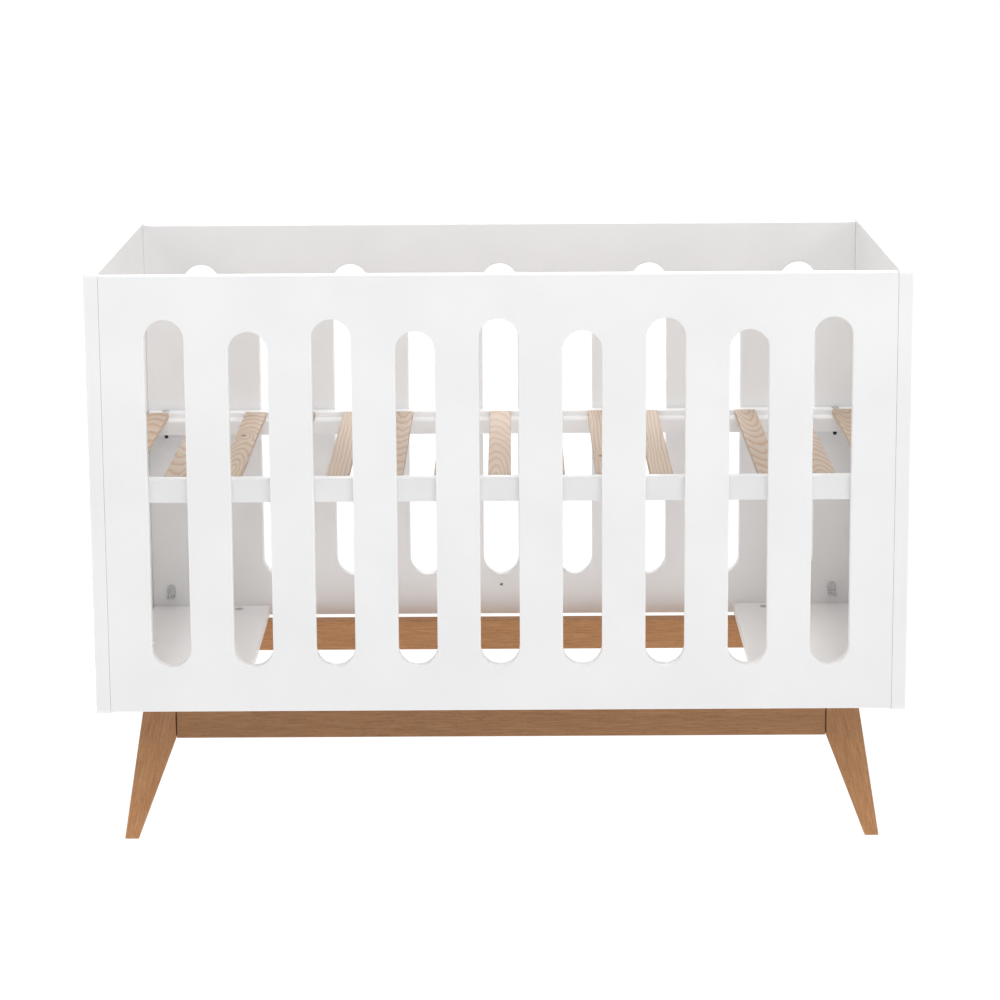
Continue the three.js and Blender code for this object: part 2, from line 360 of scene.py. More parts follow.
def mixed(finish, amount, first, second, how="MIX"):
    """Two colours mixed by an amount."""
    node = finish.node_tree.nodes.new("ShaderNodeMix")
    node.data_type, node.blend_type = "RGBA", how
    feed(finish, node.inputs["Factor"], amount)
    feed(finish, node.inputs[6], first)
    feed(finish, node.inputs[7], second)
    return node.outputs[2]


def bumps(finish, shader, height, depth, strength=1.0):
    """Presses a height into the surface, depth metres from lowest to highest."""
    node = finish.node_tree.nodes.new("ShaderNodeBump")
    node.inputs["Strength"].default_value = strength
    node.inputs["Distance"].default_value = depth
    feed(finish, node.inputs["Height"], height)
    feed(finish, shader.inputs["Normal"], node.outputs["Normal"])


print("a warm white is", [round(part, 3) for part in colour(240, 238, 234)])

# %% [markdown]
# ## White lacquer
#
# The panels are sprayed with a satin white lacquer. Sprayed paint is never quite flat: it dries
# with a faint orange peel a millimetre or two across, and its thickness varies slowly over a
# hand's width, which shows as a slight change of white and of gloss. Three noises do this. One
# plain white would look like plastic. The white is almost neutral, because the pine inside already
# warms it a little.

# %% White lacquer
PEEL_SIZE = 1 / 0.0016

white_lacquer, shader = new_finish("white_lacquer")
place = place_on(white_lacquer)
coat = noise(white_lacquer, place, scale=7, detail=3)
white = ramp(white_lacquer, coat, [(0.35, colour(244, 244, 245)), (0.65, colour(248, 248, 248))])
feed(white_lacquer, shader.inputs["Base Color"], white)
satin = noise(white_lacquer, place, scale=30, detail=2)
feed(white_lacquer, shader.inputs["Roughness"], spread(white_lacquer, satin, 0.3, 0.7, 0.36, 0.46))
peel = noise(white_lacquer, place, scale=PEEL_SIZE, detail=2)
bumps(white_lacquer, shader, peel, depth=0.00003, strength=0.6)
print("orange peel is", round(1000 / PEEL_SIZE, 1), "mm across")

# %% [markdown]
# ## Where a board lay in the tree
#
# The lines on timber are growth rings, cut by the saw. So each piece of timber stores, at every
# point, where that point lay in the tree: how far along the trunk, and how far across and out
# from the heart. The rings are then circles about the heart, in any board and on all its faces.
# A board cut near the heart and slightly askew shows arches, and one cut far from it shows
# straight lines. A second attribute holds the place of a knot, and a third one the tone: how deep
# the colour is at the start and at the end of the piece. On the slats it differs at random, since no
# two boards are equally dark; on the front leg rail and the legs it also carries painted shade.

# %% Store the grain in a piece
FAR_AWAY = Vector((9.0, 9.0, 9.0))


def lay_grain(piece, along, up, heart, lean=0.0, shift=0.0, knot=None, tone_and_shade=(1.0, 1.0)):
    """Stores grain, knot and tone, the tone with any painted shade. heart is how far the tree's heart
    lies across and below.
    """
    along = Vector(along).normalized()
    across = Vector(up).cross(along).normalized()
    out = along.cross(across)
    points = [vertex.co for vertex in piece.data.vertices]
    middle = sum(points, Vector()) / len(points)
    runs = [(point - middle).dot(along) for point in points]
    start, reach = min(runs), max(runs) - min(runs)
    grain, knots, tones = [], [], []
    for point, run in zip(points, runs):
        from_middle = point - middle
        here = Vector((run, from_middle.dot(across), from_middle.dot(out)))
        grain.extend((run + shift, here.y + heart[0], here.z + heart[1] + lean * run))
        knots.extend(FAR_AWAY if knot is None else here - Vector(knot))
        # tone: a random depth of colour, and on some pieces painted shade, running from start to end
        tones.append(tone_and_shade[0] + (tone_and_shade[1] - tone_and_shade[0]) * (run - start) / reach)
    for name, values in (("grain", grain), ("knot", knots)):
        layer = piece.data.attributes.new(name, "FLOAT_VECTOR", "POINT")
        layer.data.foreach_set("vector", values)
    piece.data.attributes.new("tone_and_shade", "FLOAT", "POINT").data.foreach_set("value", tones)


print("grain is stored in metres along, across and out from the heart")

# %% [markdown]
# ## Pine
#
# The slats are bare pine: a pale ground with soft orange lines, because each ring grows wide and
# pale in spring and narrow and dark in summer. The distance from the heart, divided by the ring
# width, gives the rings, and its fraction gives the slow rise and sharp drop of each year. Wood
# wanders, so a slow noise and a smaller, quicker one shift the distance first. Near a knot the
# rings swing round it. The same function serves the brown timber later.

# %% Growth rings
def ring_fraction(finish, ring_width, wander):
    """0 at the start of each year's growth, 1 at its end, bent round knots."""
    grain = place_on(finish, "grain")
    drift = noise(finish, stretch(finish, grain, (3.5, 22, 22)), detail=2)
    distance = length_of(finish, stretch(finish, grain, (0, 1, 1)))
    ripple = noise(finish, stretch(finish, grain, (11, 75, 75)), detail=2)
    distance = sum_up(finish, "ADD", distance, spread(finish, drift, 0, 1, -wander, wander))
    distance = sum_up(finish, "ADD", distance, spread(finish, ripple, 0, 1, -wander / 3, wander / 3))
    from_knot = length_of(finish, stretch(finish, place_on(finish, "knot"), (0.45, 1, 1)))
    bulge = spread(finish, from_knot, 0.002, 0.024, 0.011, 0, smooth=True)
    distance = sum_up(finish, "SUBTRACT", distance, bulge)
    year = sum_up(finish, "FRACT", sum_up(finish, "DIVIDE", distance, ring_width))
    return year, from_knot, grain


PINE_RING = 0.0052
pine, shader = new_finish("bare_pine")
year, from_knot, grain = ring_fraction(pine, PINE_RING, wander=0.005)
wood = ramp(pine, year, [
    (0.0, colour(203, 184, 167)), (0.2, colour(207, 191, 176)), (0.55, colour(203, 182, 162)),
    (0.8, colour(191, 159, 131)), (0.92, colour(185, 151, 120)), (1.0, colour(197, 172, 150)),
])
cloud = noise(pine, stretch(pine, grain, (2.5, 30, 30)), detail=2)
shades = ramp(pine, cloud, [(0.3, (0.93, 0.91, 0.89, 1)), (0.7, (1.0, 1.0, 1.0, 1))])
wood = mixed(pine, 0.7, wood, shades, "MULTIPLY")
fibre = noise(pine, stretch(pine, grain, (14, 900, 900)), detail=3, roughness=0.6)
fibres = ramp(pine, fibre, [(0.3, (0.88, 0.86, 0.84, 1)), (0.6, (1.0, 1.0, 1.0, 1))])
wood = mixed(pine, 0.6, wood, fibres, "MULTIPLY")
core = spread(pine, from_knot, 0.0025, 0.0055, 0.85, 0, smooth=True)
wood = mixed(pine, core, wood, colour(140, 92, 58))
wood = mixed(pine, 1.0, wood, value_of(pine, "tone_and_shade"), "MULTIPLY")
feed(pine, shader.inputs["Base Color"], wood)
feed(pine, shader.inputs["Roughness"], spread(pine, year, 0, 1, 0.66, 0.5))
bumps(pine, shader, fibre, depth=0.00012, strength=0.5)
print("pine rings are", PINE_RING / MM, "mm wide")

# %% [markdown]
# ## Brown timber
#
# The leg frame is a closer-grained timber under a satin brown stain. It shows fine streaks, short
# dark pores and slow clouds of stain, and the rings are only a faint swing of colour. The streaks
# are noise that is stretched sixteenfold along the grain. The pores are a finer noise of which
# only the peaks are kept, and they are pressed in a little as well.

# %% Brown timber
TIMBER_RING = 0.0075
PORE_DARKNESS = 0.45
brown_timber, shader = new_finish("brown_timber")
shader.inputs["Specular IOR Level"].default_value = 0.35
year, _, grain = ring_fraction(brown_timber, TIMBER_RING, wander=0.004)
streak = noise(brown_timber, stretch(brown_timber, grain, (26, 420, 420)), detail=4, roughness=0.65)
wood = ramp(brown_timber, streak, [
    (0.3, colour(170, 119, 76)), (0.5, colour(186, 135, 90)), (0.7, colour(198, 148, 102)),
])
rings = ramp(brown_timber, year, [
    (0.0, (1, 1, 1, 1)), (0.7, (0.95, 0.93, 0.91, 1)), (1.0, (0.86, 0.83, 0.8, 1)),
])
wood = mixed(brown_timber, 0.4, wood, rings, "MULTIPLY")
stain = noise(brown_timber, stretch(brown_timber, grain, (5, 14, 14)), detail=3)
clouds = ramp(brown_timber, stain, [(0.3, (0.9, 0.88, 0.86, 1)), (0.7, (1.0, 1.0, 1.0, 1))])
wood = mixed(brown_timber, 0.6, wood, clouds, "MULTIPLY")
pore = noise(brown_timber, stretch(brown_timber, grain, (120, 900, 900)), detail=2)
pores = spread(brown_timber, pore, 0.6, 0.7, 0, 1, smooth=True)
darkened = sum_up(brown_timber, "MULTIPLY", pores, PORE_DARKNESS)
wood = mixed(brown_timber, darkened, wood, colour(104, 68, 44))
# the tone darkens the front leg rail and the tops of the legs with painted shade
wood = mixed(brown_timber, 1.0, wood, value_of(brown_timber, "tone_and_shade"), "MULTIPLY")
feed(brown_timber, shader.inputs["Base Color"], wood)
feed(brown_timber, shader.inputs["Roughness"], spread(brown_timber, streak, 0.3, 0.7, 0.5, 0.4))
height = sum_up(brown_timber, "SUBTRACT", streak, sum_up(brown_timber, "MULTIPLY", pores, 0.8))
bumps(brown_timber, shader, height, depth=0.00015, strength=0.5)
print("brown timber has", len(brown_timber.node_tree.nodes), "nodes")

# %% [markdown]
# ## Zinc-plated steel
#
# The bolts, brackets and inserts are zinc-plated. Plating is bright but slightly cloudy, so the
# gloss varies over a few millimetres and fine scratches catch the light. Where a bolt reaches below
# its rail, painted shade darkens the steel. A piece marks those points with an attribute, which is 0
# on all the pieces that don't keep it.

# %% Zinc steel
zinc_steel, shader = new_finish("zinc_steel", metallic=1.0)
place = place_on(zinc_steel)
CLOUDS_PER_METRE = 260
bloom = noise(zinc_steel, place, scale=CLOUDS_PER_METRE, detail=3)
plating = ramp(zinc_steel, bloom, [(0.3, colour(203, 205, 206)), (0.7, colour(216, 218, 218))])
# painted shade: the steel turns dark grey where a piece marks it, below a rail
plating = mixed(zinc_steel, value_of(zinc_steel, "painted_shade"), plating, colour(60, 64, 64))
feed(zinc_steel, shader.inputs["Base Color"], plating)
feed(zinc_steel, shader.inputs["Roughness"], spread(zinc_steel, bloom, 0.3, 0.7, 0.24, 0.32))
scratch = noise(zinc_steel, stretch(zinc_steel, place, (900, 5200, 2600)), detail=2)
bumps(zinc_steel, shader, scratch, depth=0.000005, strength=0.15)
print("zinc clouds are about", round(1000 / CLOUDS_PER_METRE, 1), "mm across")

# %% [markdown]
# ## End panels
#
# Each end is one solid board, 22 mm thick, with rounded corners and softened rims. The four
# corner edges run along X, through the board, so they are rounded first with a large radius. The
# rims then follow the rounded corners with a small one, and the rim that meets the sides with a
# smaller one still, so that the seam stays a hairline. Two holes take threaded inserts, and the
# dowel holes that hold the sides are drilled into the inner face.

# %% End panels
CORNER_ROUND = 9
RIM_ROUND, SEAM_ROUND = 2.3, 1.2
DOWEL_HOLE, DOWEL_HOLE_DEPTH = 4.3, 15.4
INSERT_HOLE, INSERT_HOLE_DEPTH = 6.3, 12.4


def across_hole(radius, depth, centre):
    """A drill that reaches depth to each side of a place, along X."""
    return move(turn(rod(radius, 2 * depth), 90, "Y"), centre)


def lies_at(edge, x):
    """Whether both ends of an edge lie in one upright plane across the crib."""
    return all(abs(vert.co.x - x) < 0.01 for vert in edge.verts)


def place_of(node):
    """The middle of a node's box."""
    low, high = node_box(node)
    return (low + high) / 2


for end, x in ENDS.items():
    node = f"end_panel_{end}"
    low, high = node_box(node)
    inner = low.x if x > 0 else high.x
    panel = block(low, high)
    soften(panel, edges_along(panel, 0), CORNER_ROUND, 8)
    soften(panel, [edge for edge in sharp_edges(panel) if not lies_at(edge, inner)], RIM_ROUND, 4)
    soften(panel, [edge for edge in sharp_edges(panel) if lies_at(edge, inner)], SEAM_ROUND, 3)
    for side in SIDES:
        insert = place_of(f"panel_insert_{side}_{end}")
        panel = drill(panel, across_hole(INSERT_HOLE, INSERT_HOLE_DEPTH, (inner, insert.y, insert.z)))
        for level in ("low", "high"):
            dowel = place_of(f"corner_dowel_{side}_{end}_{level}")
            panel = drill(panel, across_hole(DOWEL_HOLE, DOWEL_HOLE_DEPTH, (inner, dowel.y, dowel.z)))
    finish_piece(panel, f"{end}_end_panel", white_lacquer, stands_for=node)

# %% [markdown]
# ## The outline of a slot
#
# Each side has nine slots, alternately tall and short. A slot's outline is a circle whose upper
# half is moved up and lower half down. The ring is turned by half a step, so that no point lies
# level with its middle and every point belongs to one half.

# %% Draw one slot
SLOT_COUNT, SLOT_WIDTH, SLOT_PITCH = 9, 60, 126
SLOT_BOTTOM, TALL_TOP, SHORT_TOP = 284, 822, 803.5
ROUND_STEPS = 48


def standing_ring(bm, steps, radius):
    """A ring of points in the plane of X and Z, none of them level with its middle."""
    ring = bmesh.ops.create_circle(bm, cap_ends=False, segments=steps, radius=radius)["verts"]
    facing = Matrix.Rotation(math.radians(90), 3, "X") @ Matrix.Rotation(math.pi / steps, 3, "Z")
    bmesh.ops.rotate(bm, verts=ring, cent=(0, 0, 0), matrix=facing)
    return ring


def draw_slot(bm, x, bottom, top):
    """Adds a slot's outline, from its lowest to its highest point."""
    radius = SLOT_WIDTH / 2
    ring = standing_ring(bm, ROUND_STEPS, radius)
    upper = [point for point in ring if point.co.z > 0]
    lower = [point for point in ring if point.co.z < 0]
    bmesh.ops.translate(bm, verts=upper, vec=(x, 0, top - radius))
    bmesh.ops.translate(bm, verts=lower, vec=(x, 0, bottom + radius))


print("slots at", [SLOT_PITCH * (i - SLOT_COUNT // 2) for i in range(SLOT_COUNT)])

# %% [markdown]
# ## Slotted sides
#
# Each side is one board. The slots' outlines lie inside the board's own rectangle, a triangle fill
# closes the surface between them, and one extrude gives it the thickness. All the rims are then
# rounded together, so the slots feel soft to a small hand. The edges that meet the ends come last,
# with the hairline seam's small radius. The rear side has one small blind hole under the middle
# slot.

# %% Slotted sides
REAR_HOLE_HEIGHT, REAR_HOLE, REAR_HOLE_DEPTH = 266, 2.5, 12


def slotted_board(low, high):
    """A board with nine slots, lying between two corners."""
    bm = bmesh.new()
    size, middle = high - low, (low + high) / 2
    outline = standing_ring(bm, 4, math.sqrt(0.5))    # a square with sides of 1
    bmesh.ops.scale(bm, verts=outline, vec=(size.x, 1, size.z))
    bmesh.ops.translate(bm, verts=outline, vec=(middle.x, 0, middle.z))
    for i in range(SLOT_COUNT):
        top = SHORT_TOP if i % 2 else TALL_TOP
        draw_slot(bm, SLOT_PITCH * (i - SLOT_COUNT // 2), SLOT_BOTTOM, top)
    bmesh.ops.triangle_fill(bm, use_beauty=True, use_dissolve=False, edges=bm.edges[:])
    grown = bmesh.ops.extrude_face_region(bm, geom=bm.faces[:])["geom"]
    front = [part for part in grown if isinstance(part, bmesh.types.BMVert)]
    bmesh.ops.translate(bm, verts=front, vec=(0, size.y, 0))
    bmesh.ops.recalc_face_normals(bm, faces=bm.faces)

    def at_an_end(edge):
        return lies_at(edge, low.x) or lies_at(edge, high.x)

    rims = [edge for edge in sharp_edges(bm, 60)
            if abs(edge.verts[0].co.y - edge.verts[1].co.y) < 0.01 and not at_an_end(edge)]
    soften(bm, rims, RIM_ROUND, 4)
    soften(bm, [edge for edge in sharp_edges(bm) if at_an_end(edge)], SEAM_ROUND, 3)
    return move(bm, (0, low.y, 0))


for side, y in SIDES.items():
    node = f"side_panel_{side}"
    low, high = node_box(node)
    board = slotted_board(low, high)
    for end in ENDS:
        for level in ("low", "high"):
            dowel = place_of(f"corner_dowel_{side}_{end}_{level}")
            board = drill(board, across_hole(DOWEL_HOLE, DOWEL_HOLE_DEPTH, dowel))
    if side == "rear":
        blind = turn(rod(REAR_HOLE, 2 * REAR_HOLE_DEPTH), 90, "X")
        board = drill(board, move(blind, (0, low.y, REAR_HOLE_HEIGHT)))
    finish_piece(board, f"{side}_slotted_side", white_lacquer, stands_for=node)

# %% [markdown]
# ## Corner dowels
#
# Hidden steel dowels tie each side to the ends. A dowel has chamfered ends, so that it starts
# easily, and shallow grooves, which let glue and air out. It is turned like any round piece.

# %% Corner dowels
DOWEL_RADIUS, DOWEL_LENGTH = 4, 30


def dowel_outline(radius, length, grooves=6, depth=0.3):
    """A dowel's half outline, with its chamfers and grooves."""
    half, chamfer = length / 2, 0.8
    outline = [(0, -half), (radius - chamfer, -half), (radius, -half + chamfer)]
    pitch = (length - 6) / grooves
    for i in range(grooves):
        start = -half + 3 + i * pitch
        outline += [(radius, start), (radius - depth, start + 0.4), (radius - depth, start + 1.1),
                    (radius, start + 1.5)]
    return outline + [(radius, half - chamfer), (radius - chamfer, half), (0, half)]


for corner, x, y in CORNERS:
    for level in ("low", "high"):
        node = f"corner_dowel_{corner}_{level}"
        dowel = turn(turned(dowel_outline(DOWEL_RADIUS, DOWEL_LENGTH), 20), 90, "Y")
        finish_piece(move(dowel, place_of(node)), f"{corner}_dowel_{level}",
                     zinc_steel, stands_for=node)

# %% [markdown]
# ## Threaded inserts
#
# Near the top of each end panel's inner face sit two flanged inserts, for fitting a rail or a
# changing top. The outline goes down the bore, whose thread is a row of small teeth, round the
# barrel and out to the rounded flange, and ends where it began.

# %% Threaded inserts
def insert_outline(bore=4, flange=8.3, proud=1.2, barrel=6, depth=12, pitch=1.0):
    """An insert's half outline, closed on itself because the bore is open."""
    outline = [(bore + 0.6, proud)]
    for i in range(int(depth / pitch)):
        crest = proud - 0.6 - i * pitch
        outline += [(bore, crest), (bore + 0.4, crest - pitch / 2)]
    outline += [(bore, -depth), (barrel, -depth), (barrel, 0.3), (flange, 0.3)]
    outline += [(flange, proud - 0.5), (flange - 0.15, proud - 0.15), (flange - 0.5, proud)]
    return outline + [(bore + 0.6, proud)]


for corner, x, y in CORNERS:
    node = f"panel_insert_{corner}"
    insert = turn(turned(insert_outline()), -90 * x, "Y")
    inner = node_box("end_panel_" + corner.split("_")[1])[0 if x > 0 else 1].x
    finish_piece(move(insert, (inner, place_of(node).y, place_of(node).z)), f"{corner}_insert",
                 zinc_steel, stands_for=node)

# %% [markdown]
# ## Base rails
#
# Two white rails carry the slats. Each has a ledge that the slats lie on and a lip behind their
# ends. The rail is a single section drawn in the plane of Y and Z and extruded along X, so the
# ledge and lip run its whole length. The top edges are rounded more than the rest and the ledge's
# edge most of all, so that it shows as a soft shade and not as a line.

# %% Base rails
RAIL_ROUND, RAIL_TOP_ROUND, LEDGE_ROUND = 1.2, 3, 6
BASE_BOLT_HOLE = 4
LEDGE_HEIGHT = 564
LIP_FACE = 278


def base_rail(low, high, y):
    """A rail between two corners, with its ledge towards the middle of the crib."""
    outer, inner = (high.y, low.y) if y > 0 else (low.y, high.y)
    section = [(inner, low.z), (outer, low.z), (outer, high.z), (y * LIP_FACE, high.z),
               (y * LIP_FACE, LEDGE_HEIGHT), (inner, LEDGE_HEIGHT)]
    bm = bmesh.new()
    face = bm.faces.new([bm.verts.new((low.x, *point)) for point in section])
    grown = bmesh.ops.extrude_face_region(bm, geom=[face])["geom"]
    far = [part for part in grown if isinstance(part, bmesh.types.BMVert)]
    bmesh.ops.translate(bm, verts=far, vec=(high.x - low.x, 0, 0))
    bmesh.ops.recalc_face_normals(bm, faces=bm.faces)
    for height, radius in ((high.z, RAIL_TOP_ROUND), (LEDGE_HEIGHT, LEDGE_ROUND)):
        level = [edge for edge in edges_along(bm, 0)
                 if edge.is_convex and abs(edge.verts[0].co.z - height) < 0.1]
        soften(bm, level, radius, 5)
    convex = [edge for edge in sharp_edges(bm) if edge.is_convex]
    soften(bm, convex, RAIL_ROUND, 3)
    return bm


for side, y in SIDES.items():
    node = f"base_rail_{side}"
    rail = base_rail(*node_box(node), y)
    for end in ENDS:
        bolt = place_of(f"base_bolt_{side}_{end}")
        rail = drill(rail, move(rod(BASE_BOLT_HOLE, 80), (bolt.x, bolt.y, LEDGE_HEIGHT)))
    finish_piece(rail, f"{side}_base_rail", white_lacquer, "bed_base", node)

# %% [markdown]
# ## Slats
#
# Fifteen pine slats lie across the rails. Their corners are rounded and all the edges are eased.
# No two boards come from the same place in the tree, so each slat gets its own heart, lean, shift
# and tone. The draws come from one seeded source, so the base looks the same each time.

# %% Slats
SLAT_COUNT, SLAT_EASE, SLAT_CORNER = 15, 1.3, 2.5
# A knot by the number of its slat: how far along, across and out it lies, in metres.
KNOTS = {3: (0.06, 0.004, 0.005), 5: (0.19, -0.005, 0.005), 10: (-0.13, 0.006, 0.005)}
STRAIGHT_SHARE = 0.45
tree = random.Random(11)

for number in range(1, SLAT_COUNT + 1):
    node = f"slat_{number:02d}"
    slat = block(*node_box(node))
    soften(slat, edges_along(slat, 2), SLAT_CORNER, 3)
    soften(slat, sharp_edges(slat), SLAT_EASE, 3)
    piece = finish_piece(slat, f"pine_slat_{number:02d}", pine, "bed_base", node)
    if tree.random() < STRAIGHT_SHARE:
        heart = (tree.uniform(0.04, 0.09), 0.02)
        lean = tree.uniform(-0.015, 0.015)
    else:
        heart = (tree.uniform(-0.006, 0.006), tree.uniform(0.02, 0.05))
        lean = tree.choice((-1, 1)) * tree.uniform(0.07, 0.12)
    depth = tree.uniform(0.9, 1.05)
    lay_grain(piece, along=(0, 1, 0), up=(0, 0, 1), heart=heart, lean=lean,
              shift=tree.uniform(0, 40), knot=KNOTS.get(number), tone_and_shade=(depth, depth))

# %% [markdown]
# ## Bolts of the base
#
# A bolt goes down through each end of both rails. It has a low domed head with a six-sided
# socket, a washer under the rail, and a threaded tip that shows below. Everything a millimetre or
# more below the rail is painted dark as shade. The dome is turned. The socket starts as a six-sided
# ring on top of the dome, bridged to the round opening, and is pushed down into the head. The
# thread is a row of teeth on the shank's outline.

# %% Domed bolt
SOCKET_SIZE, SOCKET_DEPTH = 2.6, 1.3
BOLT_SHANK, BOLT_HEAD, HEAD_GAP = 3.5, 6.75, 0.3
WASHER_HOLE, WASHER_RADIUS = 3.6, 8
# How far below the rail the washer begins and ends, and from where down the steel is painted with
# shade.
WASHER_TOP, WASHER_BOTTOM, SHADE_FROM = 0.3, 1.9, 1


def ring_edges(bm, points):
    """The edges whose two ends are both among the points."""
    points = set(points)
    return [edge for edge in bm.edges if set(edge.verts) <= points]


def socket_head(bm, opening, top):
    """Closes a round opening at the top of a turned head with a six-sided socket."""
    rim = [point for point in bm.verts if abs(point.co.z - top) < 0.01]
    rim = [point for point in rim if abs(point.co.xy.length - opening) < 0.05]
    rounded = ring_edges(bm, rim)
    hexagon = bmesh.ops.create_circle(bm, cap_ends=False, segments=6, radius=SOCKET_SIZE)["verts"]
    bmesh.ops.translate(bm, verts=hexagon, vec=(0, 0, top - 0.1))
    lip = ring_edges(bm, hexagon)
    bmesh.ops.bridge_loops(bm, edges=rounded + lip)
    walls = bmesh.ops.extrude_edge_only(bm, edges=lip)["geom"]
    floor_points = [part for part in walls if isinstance(part, bmesh.types.BMVert)]
    bmesh.ops.translate(bm, verts=floor_points, vec=(0, 0, -SOCKET_DEPTH))
    bmesh.ops.contextual_create(bm, geom=ring_edges(bm, floor_points))
    return bm


def thread(radius, start, end, pitch=1.0, depth=0.35):
    """The outline of a thread, from one height down to another."""
    outline = []
    height = start
    while height - pitch > end:
        outline += [(radius, height), (radius - depth, height - pitch / 2)]
        height -= pitch
    return outline


def domed_bolt(shank, head, head_bottom, head_height, tip, thread_start):
    """A bolt about Z, from its tip up to its socket."""
    opening = 3.1
    top = head_bottom + head_height
    outline = [(opening, top), (opening + 0.7, top - 0.02), (head * 0.74, top - head_height * 0.22),
               (head * 0.92, top - head_height * 0.5), (head, head_bottom + 0.5),
               (head, head_bottom + 0.2), (head - 0.3, head_bottom), (shank, head_bottom)]
    outline += thread(shank, thread_start, tip + 1.2)
    outline += [(shank - 0.8, tip), (0, tip)]
    return socket_head(turned(outline), opening, top)


def washer(hole, radius, bottom, top):
    """A flat ring with softened outer edges."""
    edge = (top - bottom) * 0.3
    return turned([(hole, bottom), (radius - edge, bottom), (radius, bottom + edge),
                   (radius, top - edge), (radius - edge, top), (hole, top), (hole, bottom)])


for corner, x, y in CORNERS:
    node = f"base_bolt_{corner}"
    low, high = node_box(node)
    rail_low, rail_high = node_box("base_rail_" + corner.split("_")[0])
    bolt = domed_bolt(BOLT_SHANK, BOLT_HEAD, rail_high.z + HEAD_GAP, high.z - rail_high.z - HEAD_GAP,
                      low.z, rail_low.z + 8)
    ring = washer(WASHER_HOLE, WASHER_RADIUS, rail_low.z - WASHER_BOTTOM, rail_low.z - WASHER_TOP)
    bolt = join(bolt, ring)
    piece = finish_piece(move(bolt, (place_of(node).x, place_of(node).y, 0)), f"{corner}_base_bolt",
                         zinc_steel, "bed_base", node)
    # points a millimetre or more below the rail get painted shade, a dark grey on the steel
    painted_shade = [float(vertex.co.z / MM < rail_low.z - SHADE_FROM) for vertex in piece.data.vertices]
    piece.data.attributes.new("painted_shade", "FLOAT", "POINT").data.foreach_set("value", painted_shade)

# %% [markdown]
# ## Lower brackets
#
# Four angle brackets wait for the base's lower position. A bracket is one strip of sheet steel:
# a half-round top, a straight back, a bend and a foot. So it is made the way it is bent. Half a
# disc is cut from a full one, its straight edge is extruded down, spun through a quarter turn
# and extruded again as the foot.

# %% Lower brackets
SHEET, BEND = 1.8, 1.6
BRACKET_WIDTH, BRACKET_HEIGHT, BRACKET_FOOT = 14.5, 20.5, 23
FOOT_HOLE = 4.6


def lowest_edge(bm, axis):
    """The one edge that lies furthest down an axis."""
    return min(bm.edges, key=lambda edge: edge.verts[0].co[axis] + edge.verts[1].co[axis])


def pull(bm, edge, vec):
    """Extrudes one edge into a strip."""
    grown = bmesh.ops.extrude_edge_only(bm, edges=[edge])["geom"]
    new_points = [part for part in grown if isinstance(part, bmesh.types.BMVert)]
    bmesh.ops.translate(bm, verts=new_points, vec=vec)


def bent_strip():
    """The bracket's sheet, back against Y 0 and foot towards -Y, standing on Z 0."""
    radius = BRACKET_WIDTH / 2
    bm = bmesh.new()
    bmesh.ops.create_circle(bm, cap_ends=True, segments=32, radius=radius)
    everything = bm.verts[:] + bm.edges[:] + bm.faces[:]
    bmesh.ops.bisect_plane(bm, geom=everything, dist=0.001, plane_co=(0, 0, 0), plane_no=(0, -1, 0),
                           clear_outer=True)
    turn(bm, 90, "X")
    move(bm, (0, 0, BRACKET_HEIGHT - radius))
    pull(bm, lowest_edge(bm, 2), (0, 0, BEND + SHEET - (BRACKET_HEIGHT - radius)))
    bend = lowest_edge(bm, 2)
    bmesh.ops.spin(bm, geom=[bend, *bend.verts], cent=(0, -BEND - SHEET, BEND + SHEET),
                   axis=(1, 0, 0), angle=math.radians(-90), steps=5)
    bmesh.ops.remove_doubles(bm, verts=bm.verts, dist=0.001)
    pull(bm, lowest_edge(bm, 1), (0, BEND + SHEET - BRACKET_FOOT, 0))
    bmesh.ops.recalc_face_normals(bm, faces=bm.faces)
    return bm


sample = bent_strip()
print("the strip reaches", round(-min(point.co.y for point in sample.verts), 1), "mm from the side")
sample.free()

# %% [markdown]
# ## Thickness, hole and screw
#
# Solidify gives the strip the thickness of the sheet. A hole in the foot waits for the bolt's tip,
# and a cross-head screw holds the back to the side. The screw's head is low, because the rail has
# to slide past it to reach the foot.

# %% Thicken, drill and screw the brackets
def pan_screw(head=4.2, height=0.7):
    """A screw's head, seen from its front, with a cross recess cut by two small blocks."""
    outline = [(0, height), (head * 0.55, height * 0.96), (head * 0.85, height * 0.7),
               (head, height * 0.25), (head, 0), (0, 0)]
    bm = turned(outline, 24)
    for degrees in (0, 90):
        blade = block((-2.2, -0.45, height * 0.5), (2.2, 0.45, height + 1))
        bm = drill(bm, turn(blade, degrees, "Z"))
    return bm


def lower_bracket(bolt_from_back):
    """A bracket with its back on Y 0, with its screw and its hole for the bolt."""
    sheet = bent_strip()
    bmesh.ops.solidify(sheet, geom=sheet.faces[:], thickness=SHEET)
    bmesh.ops.recalc_face_normals(sheet, faces=sheet.faces)
    sheet = drill(sheet, move(rod(FOOT_HOLE, 10), (0, -bolt_from_back, 0)))
    screw = turn(pan_screw(), 90, "X")
    return join(sheet, move(screw, (0, -SHEET, BRACKET_HEIGHT - BRACKET_WIDTH / 2)))


for corner, x, y in CORNERS:
    node = f"support_bracket_{corner}"
    low, high = node_box(node)
    back = high.y if y > 0 else low.y
    bolt = place_of(f"base_bolt_{corner}")
    bracket = reflect(lower_bracket(abs(back - bolt.y)), y=y)
    finish_piece(move(bracket, (place_of(node).x, back, low.z)), f"{corner}_lower_bracket",
                 zinc_steel, stands_for=node)

# %% [markdown]
# ## Leg rails and stretchers
#
# The leg frame is a low box: two long rails, two short stretchers and four legs. The rails and
# stretchers are plain planed timber with slightly eased edges. Their grain runs along them, and
# the face that shows was cut a hand's width from the heart, so the lines run nearly straight. The
# front rail lies in the shade of the side above it, and part of that shade is laid into its tone.

# %% Leg rails and stretchers
TIMBER_EASE = 1.5
RAIL_TONE = {"front": (0.66, 0.74), "rear": (1.02, 1.02)}
BOARD_BOLT_HOLE = 3.4

